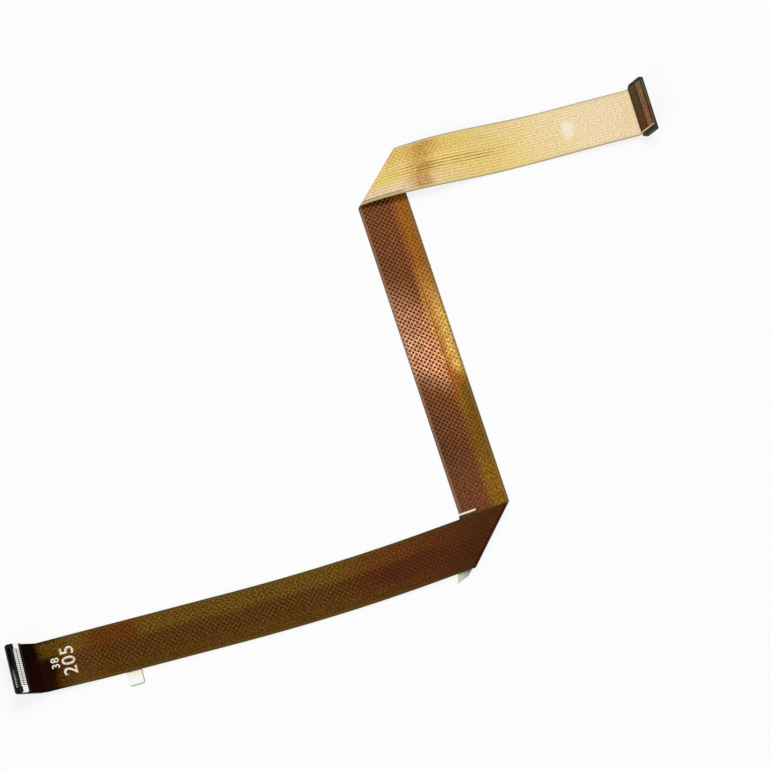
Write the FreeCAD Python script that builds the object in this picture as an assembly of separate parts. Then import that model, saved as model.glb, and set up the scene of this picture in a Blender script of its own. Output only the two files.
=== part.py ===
import FreeCAD, Part
import math
import os

# Laptop camera cable: a flexible printed circuit folded twice on the diagonal into a Z,
# with a board-to-board connector on each end. Millimetres. X runs along the lower run,
# Z is up, and the origin is under the middle of the cable on the surface it lies on.
# The film is one strip. "Far" is its edge away from the viewer on the lower run, and
# "near" is the other edge, and both names stay with the same edge past every fold.

# Flexible circuit
strip_width = 10.3
film_thickness = 0.2
lower_straight_length = 38.2
outline_bend_length = 40.9
outline_bend_angle = 5.1
lower_fold_length = 12.1
middle_length = 76.4
upper_length = 53.5
corner_radius = 0.5

# Diagonal folds: each turns the strip by twice the angle between it and its crease
lower_crease_angle = 43.6
upper_crease_angle = 46.2
fold_radius = 0.45
lower_fold_overbend = 4.0
upper_fold_opening = 23.0

# How the runs lie above the surface: the upper run springs up from its fold
upper_hump_reach = 22.5
upper_sag_height = 0.25
upper_end_height = 1.0
upper_end_roll = -1.8
tip_end_roll = 5.3
tip_twist_length = 14.0

# Bent ends, measured from the bend to the end of the film
tip_length = 6.6
tip_bend_angle = 35.0
head_length = 4.9
head_bend_angle = 56.0
end_bend_radius = 0.7

# Stiffeners
tip_stiffener_thickness = 0.3
head_stiffener_thickness = 0.15
stiffener_setback = 0.5

# Left connector: forty contacts in two rows
tip_pitch = 0.4
tip_housing_length = 10.0
tip_housing_width = 2.4
tip_housing_height = 0.75
tip_wall = 0.33
tip_island_width = 1.2
tip_edge_margin = 0.25

# Right connector: forty contacts in two rows, on the underside of the head
head_pitch = 0.5
head_housing_length = 11.8
head_housing_width = 3.6
head_housing_height = 1.2
head_wall = 0.45
head_island_width = 1.7
head_edge_margin = 0.3

# What both connectors share
contacts_per_row = 20
contact_thickness = 0.08
contact_width_share = 0.7
contact_tail = 0.35
contact_gap = 0.14
island_drop = 0.2
slot_clearance = 0.03
nail_width = 0.5
nail_inset = 0.2
nail_height_share = 0.6
housing_chamfer = 0.1

# Adhesive pads and their release liners
pad_thickness = 0.1
liner_thickness = 0.12
liner_width = 3.2
pad_inset = 0.15
tail_pad_distance = 17.2
tail_tab_length = 2.9
tab_corner_radius = 0.6
fold_liner_skew = 18.8
fold_liner_offset = 4.5
fold_liner_overhang = 1.1
fold_tab_length = 1.8
fold_tab_cut = 0.8
crease_clearance = 0.4

# Drawing: how far past a fold the rulings stay slanted, in slants of the crease, the
# short step that a slope is measured over, and the tolerance for finding an edge
lower_fan_slants = 2.5
upper_fan_slants = 6.3
slope_step = 0.01
tolerance = 0.001

half_width = strip_width / 2
half_film = film_thickness / 2
lower_rest_height = liner_thickness + pad_thickness + half_film
UP = FreeCAD.Vector(0, 0, 1)


def direction(heading):
    """Unit vector in the plan, for a heading in degrees from X."""
    angle = math.radians(heading)
    return FreeCAD.Vector(math.cos(angle), math.sin(angle), 0)


def left_of(heading):
    return direction(heading + 90)


def section(near, far, normal):
    """Cross-section of the film: a thin rectangle between its two edges."""
    rise = FreeCAD.Vector(normal).normalize() * half_film
    corners = [near - rise, far - rise, far + rise, near + rise, near - rise]
    return Part.makePolygon(corners)


def film_between(sections):
    return Part.makeLoft(sections, True, False)


# The middle run lies flat on the surface, and the other two start from it.
middle_heading = outline_bend_angle + 2 * lower_crease_angle
upper_heading = middle_heading - 2 * upper_crease_angle
lower_crease_heading = middle_heading - lower_crease_angle
upper_crease_heading = middle_heading - upper_crease_angle
middle_start = FreeCAD.Vector(0, 0, half_film)
middle_end = middle_start + direction(middle_heading) * middle_length
far_of_middle = direction(middle_heading - 90)


class Fold:
    """A crease that carries the strip from the middle run up to the layer above it."""

    def __init__(self, centre, travel, outward, crease_angle, crease_heading, overbend):
        self.centre = centre
        self.travel = travel
        self.outward = outward
        self.sweep = math.pi + math.radians(overbend)
        self.crease_angle = math.radians(crease_angle)
        self.to_far = direction(crease_heading)

    def point(self, angle):
        """Middle of the strip, where it has gone round the crease by an angle."""
        drift = fold_radius * angle / math.tan(self.crease_angle)
        out = fold_radius * math.sin(angle)
        rise = fold_radius * (1 - math.cos(angle))
        return self.centre + self.travel * drift + self.outward * out + UP * rise

    def edges(self, angle):
        reach = self.to_far * (half_width / math.sin(self.crease_angle))
        return self.point(angle) - reach, self.point(angle) + reach

    def normal(self, angle):
        return self.outward * -math.sin(angle) + UP * math.cos(angle)

    def top(self):
        return self.point(self.sweep)

    def sections(self, count=10):
        angles = [self.sweep * step / (count - 1) for step in range(count)]
        return [section(*self.edges(angle), self.normal(angle)) for angle in angles]


lower_fold = Fold(middle_start, direction(lower_crease_heading + 180),
                  direction(lower_crease_heading - 90), lower_crease_angle, lower_crease_heading,
                  lower_fold_overbend)
upper_fold = Fold(middle_end, direction(upper_crease_heading),
                  direction(upper_crease_heading + 90), upper_crease_angle, upper_crease_heading,
                  -upper_fold_opening)


def smooth(share):
    share = min(1.0, max(0.0, share))
    return share * share * (3 - 2 * share)


def from_crease(point, fold):
    return (fold.top() - point).dot(fold.outward)


def settle(point, fold, rest_height):
    """Height of a layer that slopes down from its fold and settles at a rest height."""
    drop = fold.top().z - rest_height
    fade = 2 * drop / math.tan(math.radians(lower_fold_overbend))
    return rest_height + drop * max(0.0, 1 - from_crease(point, fold) / fade) ** 2


def spring_up(point, fold, rest_height):
    """Height of a layer that rises from a fold left open and comes down to rest."""
    share = min(1.0, from_crease(point, fold) / upper_hump_reach)
    leave = math.tan(math.radians(upper_fold_opening)) * upper_hump_reach
    rest = smooth(share)
    return fold.top().z * (1 - rest) + rest_height * rest + leave * share * (1 - share) ** 2


# Lower run: positions are distances back from the lower fold towards the left end.
lower_length = lower_fold_length + outline_bend_length + lower_straight_length
outline_radius = outline_bend_length / math.radians(outline_bend_angle)


def lower_plan(back, across):
    """Point of the lower run in the plan, and the heading of the strip there."""
    start = lower_fold.top()
    if back <= lower_fold_length:
        heading = outline_bend_angle
        middle = start - direction(heading) * back
    else:
        turned = min(back - lower_fold_length, outline_bend_length)
        heading = outline_bend_angle - math.degrees(turned / outline_radius)
        bend_start = start - direction(outline_bend_angle) * lower_fold_length
        swing = left_of(outline_bend_angle) - left_of(heading)
        middle = bend_start + swing * outline_radius
        middle = middle - direction(heading) * (back - lower_fold_length - turned)
    return middle + left_of(heading) * across, heading


def lower_point(back, across):
    point, heading = lower_plan(back, across)
    height = settle(point, lower_fold, lower_rest_height)
    twist = smooth(1 - (lower_length - back) / tip_twist_length)
    lift = (half_width - across) * math.tan(math.radians(tip_end_roll)) * twist
    return FreeCAD.Vector(point.x, point.y, height + lift)


# Upper run: positions are distances from the upper fold towards the right end.
def upper_point(along, across):
    start = upper_fold.top()
    point = start + direction(upper_heading) * along + left_of(upper_heading) * across
    height = spring_up(point, upper_fold, upper_sag_height)
    rise = smooth(2 * along / upper_length - 1)
    roll = math.tan(math.radians(upper_end_roll)) * across
    height = height + rise * (upper_end_height - upper_sag_height + roll)
    return FreeCAD.Vector(point.x, point.y, height)


def run_section(point_at, near_at, far_at):
    """Section of a run along a ruling that may cross the strip on the slant."""
    near = point_at(near_at, -half_width)
    far = point_at(far_at, half_width)
    middle_at = (near_at + far_at) / 2
    ahead = point_at(middle_at + slope_step, 0) - point_at(middle_at - slope_step, 0)
    normal = ahead.cross(far - near)
    if normal.z < 0:
        normal = normal * -1
    return section(near, far, normal)


def run_sections(point_at, length, skew, fan_slants, fold, frame, count):
    """Rulings from the slanted one at a fold to the square one at the end bend."""
    settled = abs(skew) * fan_slants
    sections = [fold.sections()[-1]]
    for step in range(1, count):
        slant = skew * (1 - step / (count - 1))
        middle_at = settled * step / (count - 1)
        sections.append(run_section(point_at, middle_at - slant, middle_at + slant))
    for step in range(1, count):
        middle_at = settled + (length - settled) * step / count
        sections.append(run_section(point_at, middle_at, middle_at))
    return sections + [frame.bend_sections()[0]]


class EndFrame:
    """Place of a flat, bent-up end: out along the strip, across it, and up from it."""

    def __init__(self, point_at, length, bend_angle):
        near = point_at(length, -half_width)
        far = point_at(length, half_width)
        self.start = (near + far) / 2
        self.across = (far - near).normalize()
        out = point_at(length, 0) - point_at(length - slope_step, 0)
        out = out - self.across * out.dot(self.across)
        self.flat_out = out.normalize()
        normal = self.flat_out.cross(self.across)
        self.flat_up = normal if normal.z > 0 else normal * -1
        self.bend = math.radians(bend_angle)
        self.out = self.flat_out * math.cos(self.bend) + self.flat_up * math.sin(self.bend)
        self.up = self.flat_up * math.cos(self.bend) - self.flat_out * math.sin(self.bend)
        self.origin = self.bend_point(self.bend)

    def bend_point(self, angle):
        out = self.flat_out * (end_bend_radius * math.sin(angle))
        return self.start + out + self.flat_up * (end_bend_radius * (1 - math.cos(angle)))

    def bend_sections(self, count=6):
        sections = []
        for step in range(count):
            angle = self.bend * step / (count - 1)
            normal = self.flat_up * math.cos(angle) - self.flat_out * math.sin(angle)
            middle = self.bend_point(angle)
            half = self.across * half_width
            sections.append(section(middle - half, middle + half, normal))
        return sections

    def placement(self, flipped=False):
        """Places a part drawn with X out, Z off the film and the film's face at Z 0."""
        up = self.up * -1 if flipped else self.up
        side = up.cross(self.out)
        origin = self.origin + up * half_film
        matrix = FreeCAD.Matrix(self.out.x, side.x, up.x, origin.x,
                                self.out.y, side.y, up.y, origin.y,
                                self.out.z, side.z, up.z, origin.z, 0, 0, 0, 1)
        return FreeCAD.Placement(matrix)


def placed(shape, frame, flipped=False):
    shape.Placement = frame.placement(flipped).multiply(shape.Placement)
    return shape


def end_plate(start, end, width, thickness, radius):
    """Flat plate from X start to X end, with its two outer corners rounded."""
    plate = Part.makeBox(end - start, width, thickness, FreeCAD.Vector(start, -width / 2, 0))
    outer = [edge for edge in plate.Edges
             if edge.BoundBox.ZLength > thickness / 2 and edge.BoundBox.XMin > end - tolerance]
    return plate.makeFillet(radius, outer)


tip = EndFrame(lower_point, lower_length, tip_bend_angle)
head = EndFrame(upper_point, upper_length, head_bend_angle)


def film_end(frame, length):
    plate = end_plate(0, length, strip_width, film_thickness, corner_radius)
    plate.translate(FreeCAD.Vector(0, 0, -film_thickness))
    return placed(plate, frame)


def flex_circuit():
    """The whole strip as one solid, from the left end to the right end."""
    lower_skew = half_width / math.tan(lower_fold.crease_angle)
    upper_skew = half_width / math.tan(upper_fold.crease_angle)
    near_start, far_start = lower_fold.edges(0)
    near_end, far_end = upper_fold.edges(0)
    middle = prism([near_start, far_start, far_end, near_end], 0, film_thickness)
    pieces = [film_between(lower_fold.sections()),
              film_between(run_sections(lower_point, lower_length, -lower_skew,
                                        lower_fan_slants, lower_fold, tip, 8)),
              film_between(tip.bend_sections()),
              film_end(tip, tip_length),
              film_between(upper_fold.sections()),
              film_between(run_sections(upper_point, upper_length, upper_skew,
                                        upper_fan_slants, upper_fold, head, 14)),
              film_between(head.bend_sections()),
              film_end(head, head_length)]
    return middle.fuse(pieces)


# Connectors are drawn flat on the film: X out along the strip, Y across it, Z up.
class Connector:
    """Housing with an island in its trough, and contacts that wrap the island."""

    def __init__(self, centre, pitch, length, width, height, wall, island):
        self.centre = centre
        self.pitch = pitch
        self.length = length
        self.width = width
        self.height = height
        self.wall = wall
        self.island = island
        self.island_height = height - island_drop
        self.row_length = pitch * (contacts_per_row - 1)
        self.contact_width = pitch * contact_width_share

    def contact_places(self):
        first = -self.row_length / 2
        return [first + self.pitch * place for place in range(contacts_per_row)]

    def box(self, x_size, y_size, z_size, x=0.0, y=0.0, z=0.0):
        corner = FreeCAD.Vector(self.centre + x - x_size / 2, y - y_size / 2, z)
        return Part.makeBox(x_size, y_size, z_size, corner)

    def housing(self):
        """Bar with a trough round its island, and a slot under the wall for each contact."""
        body = self.box(self.width, self.length, self.height)
        top = [edge for edge in body.Edges if edge.BoundBox.ZMin > self.height - tolerance]
        body = body.makeChamfer(housing_chamfer, top)
        trough_length = self.row_length + 2 * self.pitch
        trough = self.box(self.width - 2 * self.wall, trough_length, self.height)
        island = self.box(self.island, trough_length, self.island_height)
        slot_width = self.contact_width + 2 * slot_clearance
        slot_height = contact_thickness + slot_clearance
        across = self.width / 2 - self.wall / 2
        slots = [self.box(self.wall, slot_width, slot_height, x=side * across, y=place)
                 for side in (-1, 1) for place in self.contact_places()]
        notches = self.nail_boxes()
        return body.cut(trough).fuse(island).cut(slots + notches)

    def contact(self, place, side):
        """Tail on the film, under the wall, up the island and over its top."""
        foot = self.width / 2 + contact_tail
        face = self.island / 2
        top = self.island_height + contact_thickness
        outline = [(foot, 0), (foot, contact_thickness),
                   (face + contact_thickness, contact_thickness),
                   (face + contact_thickness, top - contact_thickness / 2),
                   (face + contact_thickness / 2, top), (contact_gap / 2, top),
                   (contact_gap / 2, self.island_height), (face, self.island_height),
                   (face, 0), (foot, 0)]
        points = [FreeCAD.Vector(self.centre + side * x, place - self.contact_width / 2, z)
                  for x, z in outline]
        profile = Part.Face(Part.makePolygon(points))
        return profile.extrude(FreeCAD.Vector(0, self.contact_width, 0))

    def contact_row(self, side):
        return Part.makeCompound([self.contact(place, side) for place in self.contact_places()])

    def nail_boxes(self):
        """Upright leaves of the four solder nails, let into the long walls."""
        reach = self.length / 2 - nail_inset - nail_width / 2
        across = self.width / 2 - contact_thickness / 2
        height = self.height * nail_height_share
        return [self.box(contact_thickness, nail_width, height, x=side * across, y=end * reach)
                for side in (-1, 1) for end in (-1, 1)]

    def nails(self):
        reach = self.length / 2 - nail_inset - nail_width / 2
        across = self.width / 2 + contact_tail / 2
        feet = [self.box(contact_tail, nail_width, contact_thickness, x=side * across, y=end * reach)
                for side in (-1, 1) for end in (-1, 1)]
        return Part.makeCompound([leaf.fuse(foot) for leaf, foot in zip(self.nail_boxes(), feet)])


tip_connector = Connector(tip_length - tip_edge_margin - contact_tail - tip_housing_width / 2,
                          tip_pitch, tip_housing_length, tip_housing_width,
                          tip_housing_height, tip_wall, tip_island_width)
head_connector = Connector(head_length - head_edge_margin - contact_tail - head_housing_width / 2,
                           head_pitch, head_housing_length, head_housing_width,
                           head_housing_height, head_wall, head_island_width)


# Pads and liners lie flat, so they are drawn in the plan and given a thickness.
def prism(points, base, thickness):
    corners = [FreeCAD.Vector(point.x, point.y, base) for point in points]
    return Part.Face(Part.makePolygon(corners + corners[:1])).extrude(UP * thickness)


def round_corners(plate, corners, radius):
    """Rounds the upright edges of a flat plate that stand over some of its corners."""
    edges = []
    for edge in plate.Edges:
        low, high = edge.Vertexes[0].Point, edge.Vertexes[-1].Point
        upright = math.hypot(low.x - high.x, low.y - high.y) < tolerance
        if upright and any(math.hypot(low.x - p.x, low.y - p.y) < tolerance for p in corners):
            edges.append(edge)
    return plate.makeFillet(radius, edges)


def tail_outline(near_reach, far_reach, width):
    back = lower_length - tail_pad_distance
    near = [lower_plan(back + side * width / 2, -near_reach)[0] for side in (1, -1)]
    far = [lower_plan(back + side * width / 2, far_reach)[0] for side in (-1, 1)]
    return near + far


def tail_pad():
    reach = half_width - pad_inset
    outline = tail_outline(reach, reach, liner_width - 2 * pad_inset)
    return prism(outline, liner_thickness, pad_thickness)


def tail_pad_liner():
    outline = tail_outline(half_width + tail_tab_length, half_width, liner_width)
    return round_corners(prism(outline, 0, liner_thickness), outline[:2], tab_corner_radius)


# The fold pad lies on the middle run, and its liner runs on the slant to the near edge.
fold_liner_heading = middle_heading - fold_liner_skew


def fold_liner_point(side, across):
    """Point of the liner, at a side offset from its middle line, level with the lower run."""
    start = lower_plan(fold_liner_offset, 0)[0]
    level = left_of(outline_bend_angle)
    along = direction(fold_liner_heading)
    offset = left_of(fold_liner_heading) * -side
    return start + offset + along * ((across - offset.dot(level)) / along.dot(level))


def fold_pad_liner():
    side = liner_width / 2
    far = half_width + fold_liner_overhang
    outline = [fold_liner_point(-side, far), fold_liner_point(side, far),
               fold_liner_point(side, -half_width + fold_tab_cut),
               fold_liner_point(side / 3, -half_width - fold_tab_length / 2),
               fold_liner_point(-side, -half_width - fold_tab_length)]
    return prism(outline, film_thickness + pad_thickness, liner_thickness)


def crease_point(point, clearance):
    """Where a line along the middle run comes to the lower crease, short by a clearance."""
    gap = (lower_fold.centre - point).dot(lower_fold.outward) - clearance
    along = direction(middle_heading)
    return point + along * (gap / along.dot(lower_fold.outward))


def fold_pad():
    side = liner_width / 2 - pad_inset
    far = half_width + fold_liner_overhang - pad_inset
    strip = prism([fold_liner_point(-side, far), fold_liner_point(side, far),
                   fold_liner_point(side, -half_width), fold_liner_point(-side, -half_width)],
                  film_thickness, pad_thickness)
    edges = [middle_start + far_of_middle * (sign * (half_width - pad_inset)) for sign in (-1, 1)]
    beyond = direction(middle_heading) * (strip_width * 2)
    under = prism([crease_point(edges[0], crease_clearance), crease_point(edges[1], crease_clearance),
                   edges[1] + beyond, edges[0] + beyond], film_thickness, pad_thickness)
    return strip.common(under).Solids[0]


def tip_stiffener():
    plate = end_plate(stiffener_setback, tip_length, strip_width, tip_stiffener_thickness,
                      corner_radius)
    plate.translate(FreeCAD.Vector(0, 0, -film_thickness - tip_stiffener_thickness))
    return placed(plate, tip)


def head_stiffener():
    plate = end_plate(stiffener_setback, head_length, strip_width, head_stiffener_thickness,
                      corner_radius)
    return placed(plate, head)


def build():
    """Every piece of the cable, by the name of its node."""
    nodes = {"flex_circuit": flex_circuit(),
             "left_stiffener": tip_stiffener(),
             "right_stiffener": head_stiffener(),
             "tail_pad": tail_pad(),
             "tail_pad_liner": tail_pad_liner(),
             "fold_pad": fold_pad(),
             "fold_pad_liner": fold_pad_liner()}
    for name, connector, frame, flipped in (("left", tip_connector, tip, False),
                                            ("right", head_connector, head, True)):
        nodes[name + "_connector_housing"] = placed(connector.housing(), frame, flipped)
        nodes[name + "_contact_row_inner"] = placed(connector.contact_row(-1), frame, flipped)
        nodes[name + "_contact_row_outer"] = placed(connector.contact_row(1), frame, flipped)
        nodes[name + "_fixing_nails"] = placed(connector.nails(), frame, flipped)
    return nodes


nodes = build()
bounds = FreeCAD.BoundBox()
for shape in nodes.values():
    bounds.add(shape.BoundBox)
to_origin = FreeCAD.Vector(-bounds.Center.x, -bounds.Center.y, -bounds.ZMin)

os.makedirs("parts", exist_ok=True)
for name, shape in nodes.items():
    shape.translate(to_origin)
    shape.exportStep("parts/" + name + ".step")
    print(name, len(shape.Solids), "solids", round(shape.Volume, 3), "mm3", shape.isValid())
print("size", [round(side, 2) for side in (bounds.XLength, bounds.YLength, bounds.ZLength)])
print("lowest point before the move", round(bounds.ZMin, 3))
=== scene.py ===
# %% [markdown]
# # A laptop camera cable, dressed for its picture
#
# The real thing is a flexible printed circuit: copper on amber film, cut as one long
# strip, folded twice on the diagonal, with a slim connector soldered to each end. The
# solids of the frame hold its size, and this lesson gives it its looks. The strip is cut
# flat and folded, its two faces are drawn, the small parts get their finishes, and the
# stripes and the ink go on last.

# %% The frame that everything is built around
import math
from functools import partialmethod

import bmesh
import bpy
from mathutils import Matrix, Vector


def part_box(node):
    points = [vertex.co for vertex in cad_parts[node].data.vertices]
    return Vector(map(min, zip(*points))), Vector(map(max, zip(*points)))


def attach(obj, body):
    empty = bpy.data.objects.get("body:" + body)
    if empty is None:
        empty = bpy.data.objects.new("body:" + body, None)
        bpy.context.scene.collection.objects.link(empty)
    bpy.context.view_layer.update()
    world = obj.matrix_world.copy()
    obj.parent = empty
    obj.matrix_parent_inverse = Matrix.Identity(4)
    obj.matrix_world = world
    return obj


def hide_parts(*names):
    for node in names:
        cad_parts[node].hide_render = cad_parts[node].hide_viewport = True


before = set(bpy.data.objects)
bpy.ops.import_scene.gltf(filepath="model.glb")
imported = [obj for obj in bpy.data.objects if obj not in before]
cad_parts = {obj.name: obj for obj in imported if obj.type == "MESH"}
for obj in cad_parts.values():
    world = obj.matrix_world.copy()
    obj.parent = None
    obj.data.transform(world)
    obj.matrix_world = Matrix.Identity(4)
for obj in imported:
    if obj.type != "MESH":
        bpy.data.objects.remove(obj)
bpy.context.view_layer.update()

mm = 0.001
print("nodes in the frame:", len(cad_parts))

# %% [markdown]
# ## Arithmetic as nodes
#
# Both Geometry Nodes and materials calculate with Math nodes. Placing them one by one
# hides the formula that they stand for, so a small class carries a socket about, and plus,
# minus, times and divide on it add the nodes. The same class serves every tree below, and
# one helper adds any node with what goes into its sockets.


# %% A value inside a node tree
class Field:
    """A number on a socket. Arithmetic with it adds Math nodes to its tree."""

    def __init__(self, tree, socket):
        self.tree = tree
        self.socket = socket

    def math(self, operation, *others):
        values = dict(enumerate((self, *others)))
        node = add_node(self.tree, "ShaderNodeMath", values, operation=operation)
        return Field(self.tree, node.outputs[0])

    __add__ = partialmethod(math, "ADD")
    __sub__ = partialmethod(math, "SUBTRACT")
    __mul__ = partialmethod(math, "MULTIPLY")
    __truediv__ = partialmethod(math, "DIVIDE")
    least = partialmethod(math, "MINIMUM")
    most = partialmethod(math, "MAXIMUM")

    def __neg__(self):
        return self * -1.0

    def __rsub__(self, other):
        return -self + other

    def between(self, low, high):
        return self.most(low).least(high)

    def step(self, low, high):
        """0 below low, 1 above high, and a smooth rise between them."""
        values = {"Value": self, "From Min": low, "From Max": high}
        node = add_node(self.tree, "ShaderNodeMapRange", values, interpolation_type="SMOOTHSTEP")
        return Field(self.tree, node.outputs["Result"])

    def band(self, low, high, blur):
        """1 between low and high and 0 outside, with soft borders."""
        return self.step(low - blur, low + blur) * (1.0 - self.step(high - blur, high + blur))


def feed(tree, value, socket):
    """Joins a field or another node's output to a socket, or writes a plain value on it."""
    if isinstance(value, Field):
        value = value.socket
    if isinstance(value, bpy.types.NodeSocket):
        tree.links.new(value, socket)
    else:
        socket.default_value = value


def add_node(tree, kind, inputs, **settings):
    """A node with its settings, and what goes into each of its sockets."""
    node = tree.nodes.new(kind)
    for name, setting in settings.items():
        setattr(node, name, setting)
    for label, value in inputs.items():
        feed(tree, value, node.inputs[label])
    return node


def split(tree, vector):
    node = add_node(tree, "ShaderNodeSeparateXYZ", {"Vector": vector})
    return [Field(tree, output) for output in node.outputs]


def joined(tree, x, y, z):
    return add_node(tree, "ShaderNodeCombineXYZ", {"X": x, "Y": y, "Z": z}).outputs[0]


print("fields ready")

# %% [markdown]
# ## The strip as it is cut
#
# A flexible circuit is designed flat, and every place on it is a distance along the strip
# and a distance across it. All that is printed on it is drawn here in those two numbers,
# with the left end at 0. "Far" is the edge away from the viewer on the lower run, and its
# side of the strip is positive.

# %% Sizes of the strip and of what stands on its ends, in metres and radians
strip_width = 10.3 * mm
film_thickness = 0.2 * mm
corner_radius = 0.5 * mm
tip_length = 6.6 * mm
tip_bend_angle = math.radians(35)
head_length = 4.9 * mm
head_bend_angle = math.radians(56)
end_bend_radius = 0.7 * mm
lower_length = 91.2 * mm
middle_length = 76.4 * mm
upper_length = 53.5 * mm
outline_fold_length = 12.1 * mm
outline_bend_length = 40.9 * mm
outline_bend_angle = math.radians(5.1)
tip_roll_angle = math.radians(5.3)
head_roll_angle = math.radians(1.8)
left_housing_height = 0.75 * mm
right_board_thickness = 0.15 * mm

lower_crease_angle = math.radians(43.6)
upper_crease_angle = math.radians(46.2)
fold_radius = 0.45 * mm
lower_sweep = math.pi + math.radians(4)
upper_sweep = math.pi - math.radians(23)

half_width = strip_width / 2
half_film = film_thickness / 2

# %% Stations along the strip
tip_bend_start = tip_length + end_bend_radius * tip_bend_angle
lower_top = tip_bend_start + lower_length
lower_crease = lower_top + fold_radius * lower_sweep / math.sin(lower_crease_angle)
upper_crease = lower_crease + middle_length
upper_top = upper_crease + fold_radius * upper_sweep / math.sin(upper_crease_angle)
head_bend_start = upper_top + upper_length
head_bend_end = head_bend_start + end_bend_radius * head_bend_angle
strip_length = head_bend_end + head_length
print("flat strip:", round(strip_length / mm, 2), "by", round(strip_width / mm, 2), "mm")

# %% [markdown]
# ## Folding by nodes
#
# Paper folding is a rule: whatever lies past a crease goes round a small cylinder and
# comes back on the other side. So the strip isn't modelled folded. Each piece of it is
# drawn flat, and one Geometry Nodes tree bends up its ends, lifts and rolls them, lays the
# strip along the table and turns both runs over their creases. Film, end plates, stripes
# and ink all go through the same tree, and therefore always lie on each other.

# %% Named inputs of the folding tree
fold_inputs = {
    "Tip bend start": tip_bend_start,
    "Tip bend angle": tip_bend_angle,
    "Head bend start": head_bend_start,
    "Head bend angle": head_bend_angle,
    "End bend radius": end_bend_radius,
    "Tip roll slope": math.tan(tip_roll_angle),
    "Tip twist length": 14.0 * mm,
    "Head roll slope": math.tan(head_roll_angle),
    "Head lift": 0.75 * mm,
    "Outline bend length": outline_bend_length,
    "Outline bend radius": outline_bend_length / outline_bend_angle,
    "Fold radius": fold_radius,
    "Lower fold sweep": lower_sweep,
    "Upper fold sweep": upper_sweep,
    "Lower rest height": 0.32 * mm,
    "Upper rest height": 0.25 * mm,
    "Upper hump reach": 22.5 * mm,
}


def open_tree(name, sizes):
    """A geometry tree with a mesh going in and out and a named input for each size."""
    tree = bpy.data.node_groups.new(name, "GeometryNodeTree")
    tree.interface.new_socket("Geometry", in_out="INPUT", socket_type="NodeSocketGeometry")
    tree.interface.new_socket("Geometry", in_out="OUTPUT", socket_type="NodeSocketGeometry")
    for label in sizes:
        tree.interface.new_socket(label, in_out="INPUT", socket_type="NodeSocketFloat")
    tree.interface.new_socket("Material", in_out="INPUT", socket_type="NodeSocketMaterial")
    entry = tree.nodes.new("NodeGroupInput")
    given = {label: Field(tree, entry.outputs[label]) for label in sizes}
    return tree, entry, given


def close_tree(tree, entry, geometry):
    """Ends a tree with real geometry that carries the finish."""
    realize = add_node(tree, "GeometryNodeRealizeInstances", {"Geometry": geometry})
    cover = add_node(tree, "GeometryNodeSetMaterial", {
        "Geometry": realize.outputs["Geometry"], "Material": entry.outputs["Material"]})
    add_node(tree, "NodeGroupOutput", {0: cover.outputs["Geometry"]})
    return tree


def sine(angle):
    return angle.math("SINE")


def cosine(angle):
    return angle.math("COSINE")


def bend_up(past, height, radius, angle):
    """Where a point goes that lies past a bend, and how high, if the strip turns up."""
    turned = (past / radius).between(0.0, angle)
    beyond = (past - radius * angle).most(0.0)
    arm = radius - height
    out = past.least(0.0) + arm * sine(turned) + beyond * cosine(turned)
    up = radius - arm * cosine(turned) + beyond * sine(turned)
    return out, up


def lift_and_roll(across, height, share, lift, slope):
    """Rolls the strip about its middle line by a share of a slope, and lifts it."""
    roll = (slope * share).math("ARCTANGENT")
    rolled = across * cosine(roll) + height * sine(roll)
    raised = height * cosine(roll) - across * sine(roll) + lift * share
    return rolled, raised


def settle(beyond, sweep, drop):
    """Height lost, and the tilt that is left, where a tight fold lets the run sink."""
    fade = drop * 2.0 / (sweep - math.pi).math("TANGENT")
    tilt = (1.0 - beyond / fade).most(0.0)
    return -drop * (1.0 - tilt * tilt), tilt


def spring_up(beyond, sweep, drop, reach):
    """Height gained, and the tilt that is left, where an open fold lifts the run."""
    share = (beyond / reach).between(0.0, 1.0)
    back = 1.0 - share
    rest = share * share * (3.0 - share * 2.0)
    leave = (math.pi - sweep).math("TANGENT")
    tilt = back * (1.0 - share * 3.0) - share * back * drop * 6.0 / (reach * leave)
    return leave * reach * share * back * back - drop * rest, tilt


def fold_over(x, y, z, crease, outward, radius, sweep, rest_height, reach=None):
    """How far a point moves when what lies past a crease is turned over and comes to rest."""
    past = (x - crease[0]) * outward[0] + (y - crease[1]) * outward[1]
    turned = (past / radius).between(0.0, sweep)
    beyond = (past - radius * sweep).most(0.0)
    drop = radius - radius * cosine(sweep) + half_film - rest_height
    if reach is None:
        gain, tilt = settle(beyond, sweep, drop)
    else:
        gain, tilt = spring_up(beyond, sweep, drop, reach)
    shift = past.least(0.0) + (radius - z * tilt) * sine(turned)
    upright = cosine(turned) - (cosine(sweep) + 1.0) * (1.0 - tilt * tilt)
    up = radius - radius * cosine(turned) + z * upright + gain
    return (shift - beyond - past) * outward[0], (shift - beyond - past) * outward[1], up - z


def heading(angle):
    return math.cos(angle), math.sin(angle)


# %% The tree that folds the strip
quarter = math.pi / 2
middle_heading = outline_bend_angle + 2 * lower_crease_angle
lower_outward = heading(middle_heading - lower_crease_angle - quarter)
upper_outward = heading(middle_heading - upper_crease_angle + quarter)
along_middle = heading(middle_heading)
far_of_middle = heading(middle_heading - quarter)
middle_end = [part * middle_length for part in along_middle]


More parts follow.
